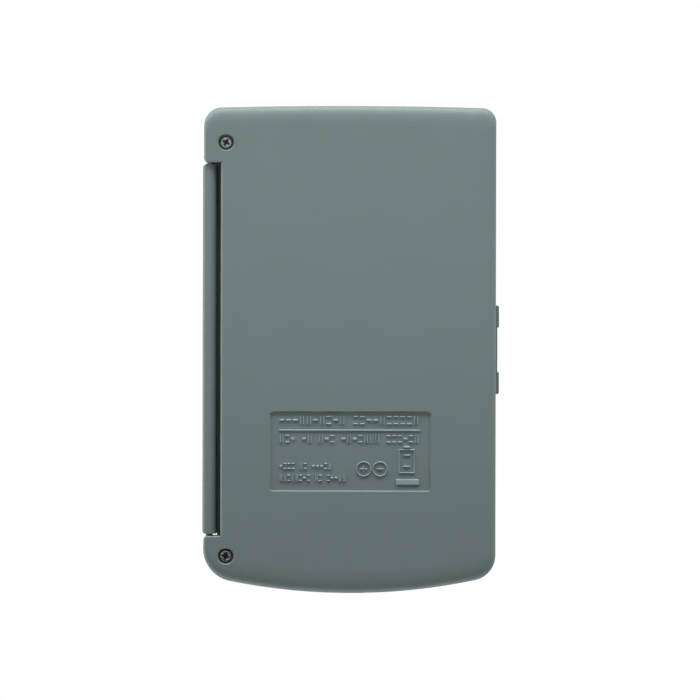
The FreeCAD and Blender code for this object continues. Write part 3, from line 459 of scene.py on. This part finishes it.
# where each row ends, its top and bottom, how many marks it has room for, and which of those are blank
MARK_ROWS = [
    (ROW_RIGHT, -16.1, -17.8, 21, {10}),
    (ROW_RIGHT, -20.65, -22.15, 25, {3, 6, 10, 18}),
    (4.1, -27.35, -28.55, 13, {4, 7}),
    (0.7, -30.15, -31.45, 17, {8, 11}),
]
RULE_Y, RULE_WIDTH = -19.35, 0.42
RING_Y, RING_R, RING_PLUS_X, RING_MINUS_X = -28.6, 1.7, -3.4, -7.3
CELL_X0, CELL_X1, CELL_Y0, CELL_Y1 = -11.9, -15.5, -29.5, -24.0
CELL_TERMINAL_Y, CELL_TERMINAL_WIDTH = -23.35, 0.7
CELL_SIGN_X0, CELL_SIGN_X1, CELL_SIGNS_Y = -12.9, -14.5, (-25.3, -28.0)
BAR_X0, BAR_X1, BAR_Y, BAR_WIDTH = -11.1, -16.6, -31.75, 1.5
rng = random.Random(11)


def mark(bm, path, width=MARK_WIDTH):
    floor = flat_level(REAR_FACE_Z + (LABEL_DEPTH + MARK_SINK) * MM)
    stroke(bm, [(x * MM, y * MM) for x, y in path], width * MM, floor, -MARK_RISE * MM, MARK_SLOPE * MM)


def mark_row(bm, end_x, top, bottom, count, blanks):
    """A row of plain marks between two heights: dashes laid across or stood up, never letters."""
    pitch = (ROW_LEFT - end_x) / count
    half = MARK_WIDTH / 2
    for i in range(count):
        kind = rng.choice(MARK_KINDS)
        if i in blanks:
            continue
        x0 = ROW_LEFT - i * pitch
        x1 = x0 - pitch * MARK_SHARE
        if kind == "across":
            for y in (top, bottom):
                mark(bm, [(x0, y), (x1, y)])
        elif kind == "uprights":
            for x in (x0 - half, x1 + half):
                mark(bm, [(x, top + half), (x, bottom - half)])
        else:
            y = (top + bottom) / 2
            mark(bm, [(x0, y), (x1, y)], BLOCK_WIDTH)


def ring_mark(bm, cx, plus):
    """A ring with a plus or a minus in it."""
    mark(bm, ring(cx, RING_Y, RING_R, RING_R), RING_WIDTH)
    arm, half = RING_R / 2, MARK_WIDTH / 2
    mark(bm, [(cx - arm, RING_Y), (cx + arm, RING_Y)])
    if plus:
        mark(bm, [(cx, RING_Y + arm), (cx, RING_Y + half)])
        mark(bm, [(cx, RING_Y - half), (cx, RING_Y - arm)])


def cell_mark(bm):
    """A plain upright cell with its terminal."""
    x0, x1, y0, y1 = CELL_X0, CELL_X1, CELL_Y0, CELL_Y1
    mark(bm, [(x0, y0), (x0, y1), (x1, y1), (x1, y0), (x0, y0)], CELL_WIDTH)
    mark(bm, [(CELL_SIGN_X0, CELL_TERMINAL_Y), (CELL_SIGN_X1, CELL_TERMINAL_Y)], CELL_TERMINAL_WIDTH)
    for y in CELL_SIGNS_Y:
        mark(bm, [(CELL_SIGN_X0, y), (CELL_SIGN_X1, y)])


def label_marks():
    bm = bmesh.new()
    for row in MARK_ROWS:
        mark_row(bm, *row)
    mark(bm, [(ROW_LEFT, RULE_Y), (ROW_RIGHT, RULE_Y)], RULE_WIDTH)
    ring_mark(bm, RING_PLUS_X, True)
    ring_mark(bm, RING_MINUS_X, False)
    cell_mark(bm)
    mark(bm, [(BAR_X0, BAR_Y), (BAR_X1, BAR_Y)], BAR_WIDTH)
    # marks cut into the mould come out smoother than the spark-textured face round them, and their colour
    # is painted paler, a painted highlight for the light that catches the raised marks
    marks = moulded_plastic("label_marks", shade(CASING_GREY, MARK_HIGHLIGHT_PALER), MARK_ROUGHNESS)
    finish_piece(bm, "label_marks", marks, "casing")


# ---- key legends --------------------------------------------------------------------------------
KEY_DISH_R, KEY_DISH_DEPTH = 34.0 * MM, 0.22 * MM
LEGEND_RISE, LEGEND_WIDTH = 0.03 * MM, 0.42 * MM
LEGEND_SINK = 0.01 * MM
LEGEND_SIZE = 3.6 * MM
SMALL_SIZE = {"root_sign": 2.8 * MM, "percent": 2.8 * MM, "on_clear": 2.8 * MM, "off": 2.4 * MM,
              "memory_recall": 2.4 * MM, "memory_minus": 2.2 * MM, "memory_plus": 2.2 * MM}
NARROW = 0.8                    # a legend's width over its height
ARCH = [(-0.1, 0.2), (-0.1, 0.8), (0.4, 0.8), (0.4, 0.2)]
# strokes of each legend in a unit square
GLYPHS = {
    "0": [ring(0.5, 0.5, 0.34, 0.5)],
    "1": [[(0.32, 0.8), (0.55, 1.0), (0.55, 0.0)]],
    "2": [arc(0.5, 0.7, 0.32, 0.3, 165, -35) + [(0.18, 0.0), (0.84, 0.0)]],
    "3": [arc(0.48, 0.74, 0.3, 0.26, 150, -80) + arc(0.46, 0.25, 0.36, 0.25, 75, -150)],
    "4": [[(0.66, 0.0), (0.66, 1.0), (0.14, 0.3), (0.88, 0.3)]],
    "5": [[(0.8, 1.0), (0.28, 1.0), (0.22, 0.55)] + arc(0.48, 0.33, 0.34, 0.33, 110, -145)],
    "6": [ring(0.5, 0.3, 0.32, 0.3), arc(0.72, 0.35, 0.54, 0.65, 100, 178)],
    "7": [[(0.16, 1.0), (0.84, 1.0), (0.4, 0.0)]],
    "8": [ring(0.5, 0.75, 0.27, 0.25), ring(0.5, 0.26, 0.34, 0.26)],
    "9": [ring(0.5, 0.7, 0.32, 0.3), arc(0.28, 0.65, 0.54, 0.65, -80, -2)],
    "point": [ring(0.5, 0.1, 0.07, 0.07, 8)],
    "plus": [[(0.1, 0.5), (0.9, 0.5)], [(0.5, 0.1), (0.5, 0.9)]],
    "minus": [[(0.1, 0.5), (0.9, 0.5)]],
    "multiply": [[(0.2, 0.2), (0.8, 0.8)], [(0.2, 0.8), (0.8, 0.2)]],
    "divide": [[(0.1, 0.5), (0.9, 0.5)], [(0.5, 0.78), (0.5, 0.92)], [(0.5, 0.08), (0.5, 0.22)]],
    "equals": [[(0.1, 0.35), (0.9, 0.35)], [(0.1, 0.65), (0.9, 0.65)]],
    "percent": [[(0.15, 0.1), (0.85, 0.9)], ring(0.25, 0.78, 0.13, 0.13, 12),
                ring(0.75, 0.22, 0.13, 0.13, 12)],
    "root_sign": [[(0.05, 0.5), (0.2, 0.6), (0.38, 0.05), (0.6, 0.95), (1.0, 0.95)]],
    "off": [ring(0.5, 0.5, 0.38, 0.38)],
    "on_clear": [arc(0.5, 0.45, 0.38, 0.38, 125, 415, 20), [(0.5, 0.95), (0.5, 0.45)]],
    "memory_recall": [ring(0.5, 0.5, 0.4, 0.4, 8), [(0.38, 0.5), (0.62, 0.5)]],
    "memory_minus": [ARCH, [(0.65, 0.5), (1.2, 0.5)]],
    "memory_plus": [ARCH, [(0.65, 0.5), (1.2, 0.5)], [(0.925, 0.22), (0.925, 0.78)]],
}


def middle(node):
    """The middle of a node's box in X and Y."""
    lowest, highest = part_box(node)
    return (lowest.x + highest.x) / 2, (lowest.y + highest.y) / 2


def key_legend(name):
    """A printed legend that follows the dish of its key's top and rides the key."""
    node = "key_" + name
    cx, cy = middle(node)
    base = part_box(node)[1].z - KEY_DISH_DEPTH - LEGEND_SINK
    tall = SMALL_SIZE.get(name, LEGEND_SIZE)
    wide = tall * NARROW

    def dish(x, y):
        return base + (x - cx) ** 2 / (2 * KEY_DISH_R)

    bm = bmesh.new()
    for path in GLYPHS[name]:
        points = [(cx + (x - 0.5) * wide, cy + (y - 0.5) * tall) for x, y in path]
        stroke(bm, points, LEGEND_WIDTH, dish, LEGEND_RISE)
    slot = "key_dark" if SLOTS[node] == "key_light" else "key_light"
    finish_piece(bm, "legend_" + name, FINISHES[slot], node)


# ---- rubber mat ---------------------------------------------------------------------------------
MAT_THICK, MAT_CORNER_R = 0.5 * MM, 1.5 * MM
DOME_FOOT_R, DOME_TOP_R, DOME_WALL = 2.9 * MM, 1.7 * MM, 0.45 * MM


def loft(bm, rings):
    """A closed skin over rings of as many points each, flat across the first and the last."""
    rings = [[bm.verts.new(point) for point in points] for points in rings]
    for a, b in zip(rings, rings[1:]):
        for i in range(len(a)):
            j = (i + 1) % len(a)
            bm.faces.new((a[i], a[j], b[j], b[i]))
    bm.faces.new(rings[0][::-1])
    bm.faces.new(rings[-1])


def mat_sheet():
    lowest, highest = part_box("key_mat")
    x0, x1 = lowest.x + MAT_CORNER_R, highest.x - MAT_CORNER_R
    y0, y1 = lowest.y + MAT_CORNER_R, highest.y - MAT_CORNER_R
    outline = []
    for x, y, turn in ((x1, y1, 0), (x0, y1, 90), (x0, y0, 180), (x1, y0, 270)):
        outline += arc(x, y, MAT_CORNER_R, MAT_CORNER_R, turn, turn + 90, 6)
    bm = bmesh.new()
    loft(bm, [[(x, y, z) for x, y in outline] for z in (lowest.z, lowest.z + MAT_THICK)])
    sheet = finish_piece(bm, "mat_sheet", FINISHES["mat_rubber"], "casing")
    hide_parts("key_mat")


def mat_dome(name):
    """The hollow dome under a key."""
    lowest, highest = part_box("key_mat")
    cx, cy = middle("key_" + name)
    profile = [
        (DOME_TOP_R - DOME_WALL, highest.z - DOME_WALL),
        (DOME_FOOT_R - DOME_WALL, lowest.z),
        (DOME_FOOT_R, lowest.z),
        (DOME_FOOT_R, lowest.z + MAT_THICK),
        (DOME_TOP_R, highest.z),
    ]
    bm = bmesh.new()
    loft(bm, [[(x, y, z) for x, y in ring(cx, cy, r, r)[:-1]] for r, z in profile])
    dome = finish_piece(bm, "mat_dome_" + name, FINISHES["mat_rubber"], "casing")
    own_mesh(dome)


# ---- display ------------------------------------------------------------------------------------
OPENING_HALF = (23.4 * MM, 7.2 * MM)
PRINT_EDGE, PRINT_THICK, PRINT_GAP = 0.4 * MM, 0.02 * MM, 0.05 * MM
DIGITS, DIGIT_MARGIN = 8, 1.5 * MM
DIGIT_START, DIGIT_WIDE, DIGIT_TALL = 0.2, 0.55, 0.62       # in pitches, and in heights of the foil
SEGMENT_WIDTH, SEGMENT_GAP, SEGMENT_THICK = 0.6 * MM, 0.4 * MM, 0.01 * MM


def window_print():
    """The dark border printed on the underside of the window, round the opening."""
    lowest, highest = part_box("display_window")
    inner = OPENING_HALF
    outer = ((highest.x - lowest.x) / 2 - PRINT_EDGE, (highest.y - lowest.y) / 2 - PRINT_EDGE)
    cx, cy = middle("display_window")
    level = flat_level(lowest.z + PRINT_GAP)
    bm = bmesh.new()
    for side in (-1, 1):
        x = cx + side * (inner[0] + outer[0]) / 2
        stroke(bm, [(x, cy - outer[1]), (x, cy + outer[1])], outer[0] - inner[0], level, PRINT_THICK)
        y = cy + side * (inner[1] + outer[1]) / 2
        stroke(bm, [(cx - inner[0], y), (cx + inner[0], y)], outer[1] - inner[1], level, PRINT_THICK)
    finish_piece(bm, "window_print", FINISHES["key_dark"], "casing")


def display_segments():
    """Resting digits of seven segments, just visible on the glass as they are when it is off."""
    lowest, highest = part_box("lcd_reflector")
    level = flat_level(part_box("lcd_cell")[1].z + SEGMENT_THICK)
    pitch = (highest.x - lowest.x - 2 * DIGIT_MARGIN) / DIGITS
    wide, half_tall = pitch * DIGIT_WIDE, (highest.y - lowest.y) * DIGIT_TALL / 2
    cy = middle("lcd_reflector")[1]
    bm = bmesh.new()

    def segment(*path):
        stroke(bm, list(path), SEGMENT_WIDTH, level, SEGMENT_THICK)

    for i in range(DIGITS):
        x0 = lowest.x + DIGIT_MARGIN + (i + DIGIT_START) * pitch
        x1 = x0 + wide
        for y in (cy - half_tall, cy, cy + half_tall):
            segment((x0 + SEGMENT_GAP, y), (x1 - SEGMENT_GAP, y))
        for x in (x0, x1):
            for start, end in ((cy - half_tall, cy), (cy, cy + half_tall)):
                segment((x, start + SEGMENT_GAP), (x, end - SEGMENT_GAP))
    finish_piece(bm, "display_segments", segment_tint(), "casing")


# ---- floor --------------------------------------------------------------------------------------
FLOOR_HALF, FLOOR_GAP = 3.0, 0.2 * MM
FADE_FROM, FADE_TO = 0.1, 0.36  # how far out the floor turns into the white backdrop


def make_floor():
    """A pale floor just under the rear face, which fades into the backdrop. It shows from above only, so
    that the camera below still sees the rear face, and it takes no part in the light on the calculator."""
    finish = Finish("pale_floor", (0.8, 0.8, 0.8), roughness=0.9)
    finish.between(finish.noise(scale=3.0), (0.8, 0.8, 0.8), (0.83, 0.83, 0.83))
    reach = finish.new("ShaderNodeVectorMath")
    reach.operation = "LENGTH"
    finish.link(finish.place, reach.inputs[0])
    fade = finish.new("ShaderNodeMapRange")
    fade.interpolation_type = "SMOOTHSTEP"
    set_range(fade, FADE_FROM, FADE_TO, 0.0, 1.0)
    finish.link(reach.outputs["Value"], fade.inputs["Value"])
    white = finish.new("ShaderNodeEmission")
    white.inputs["Color"].default_value = WHITE
    faded = finish.mix(fade.outputs["Result"], finish.shader.outputs[0], white.outputs[0])
    back = finish.new("ShaderNodeNewGeometry").outputs["Backfacing"]
    shown = finish.mix(back, faded, finish.new("ShaderNodeBsdfTransparent").outputs[0])
    finish.link(shown, finish.tree.nodes["Material Output"].inputs["Surface"])
    corners = [(x * FLOOR_HALF, y * FLOOR_HALF, REAR_FACE_Z - FLOOR_GAP)
               for x, y in ((-1, -1), (1, -1), (1, 1), (-1, 1))]
    mesh = bpy.data.meshes.new("floor")
    mesh.from_pydata(corners, [], [(0, 1, 2, 3)])
    mesh.materials.append(finish.material)
    floor = bpy.data.objects.new("floor", mesh)
    scene.collection.objects.link(floor)
    floor.visible_shadow = False
    floor.visible_diffuse = False
    floor.visible_glossy = False
    floor.visible_transmission = False


make_camera()
make_world()
make_lamps()
make_floor()
dress_nodes()
label_marks()
window_print()
display_segments()
mat_sheet()
for key in GLYPHS:
    key_legend(key)
    mat_dome(key)
